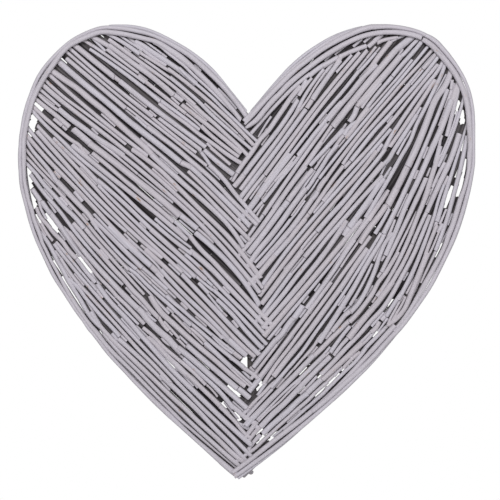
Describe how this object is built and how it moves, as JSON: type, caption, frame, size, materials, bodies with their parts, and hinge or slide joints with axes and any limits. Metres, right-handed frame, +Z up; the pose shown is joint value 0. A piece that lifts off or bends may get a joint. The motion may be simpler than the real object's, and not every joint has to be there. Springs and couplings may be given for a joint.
{
  "type": "wicker heart wall decoration",
  "caption": "Flat heart for a wall, woven from painted willow twigs laid in two slanting fans inside a rim of bent rods, on a light back frame.",
  "frame": {"origin": "middle of the cross stick's flat back, where the heart touches the wall and hangs", "axes": "+X to the right as seen from the room, +Y into the wall, +Z up from the tip to the lobes"},
  "size_m": [0.5988, 0.024, 0.5989],
  "materials": {
    "painted_rod": "matt chalky grey paint on smooth willow rods",
    "painted_twig": "matt chalky grey paint on willow twigs, rubbed through to brown bark in small spots",
    "shaded_stick": "thin dark grey paint on rough sticks"
  },
  "bodies": {
    "root": {"back_cross_stick": "shaded_stick", "back_left_brace": "shaded_stick", "back_spine_stick": "shaded_stick", "left_rim_arch_rod": "painted_rod", "left_rim_back_rod": "painted_rod", "left_rim_front_rod": "painted_rod", "left_rim_outer_rod": "painted_rod", "left_twigs_01": "painted_twig", "left_twigs_02": "painted_twig", "left_twigs_03": "painted_twig", "left_twigs_04": "painted_twig", "left_twigs_05": "painted_twig", "left_twigs_06": "painted_twig", "left_twigs_07": "painted_twig", "left_twigs_08": "painted_twig", "left_twigs_09": "painted_twig", "left_twigs_10": "painted_twig", "left_twigs_11": "painted_twig", "left_twigs_12": "painted_twig", "left_twigs_13": "painted_twig", "left_twigs_14": "painted_twig", "left_twigs_15": "painted_twig", "left_twigs_16": "painted_twig", "left_twigs_17": "painted_twig", "left_twigs_18": "painted_twig", "left_twigs_19": "painted_twig", "left_twigs_20": "painted_twig", "left_twigs_21": "painted_twig", "left_twigs_22": "painted_twig", "left_twigs_23": "painted_twig", "left_twigs_24": "painted_twig", "left_twigs_25": "painted_twig", "right_rim_arch_rod": "painted_rod", "right_rim_back_rod": "painted_rod", "right_rim_front_rod": "painted_rod", "right_rim_lower_rod": "painted_rod", "right_rim_outer_rod": "painted_rod", "right_twigs_01": "painted_twig", "right_twigs_02": "painted_twig", "right_twigs_03": "painted_twig", "right_twigs_04": "painted_twig", "right_twigs_05": "painted_twig", "right_twigs_06": "painted_twig", "right_twigs_07": "painted_twig", "right_twigs_08": "painted_twig", "right_twigs_09": "painted_twig", "right_twigs_10": "painted_twig", "right_twigs_11": "painted_twig", "right_twigs_12": "painted_twig", "right_twigs_13": "painted_twig", "right_twigs_14": "painted_twig", "right_twigs_15": "painted_twig", "right_twigs_16": "painted_twig", "right_twigs_17": "painted_twig", "right_twigs_18": "painted_twig", "right_twigs_19": "painted_twig", "right_twigs_20": "painted_twig", "right_twigs_21": "painted_twig", "right_twigs_22": "painted_twig", "right_twigs_23": "painted_twig"}
  },
  "joints": []
}
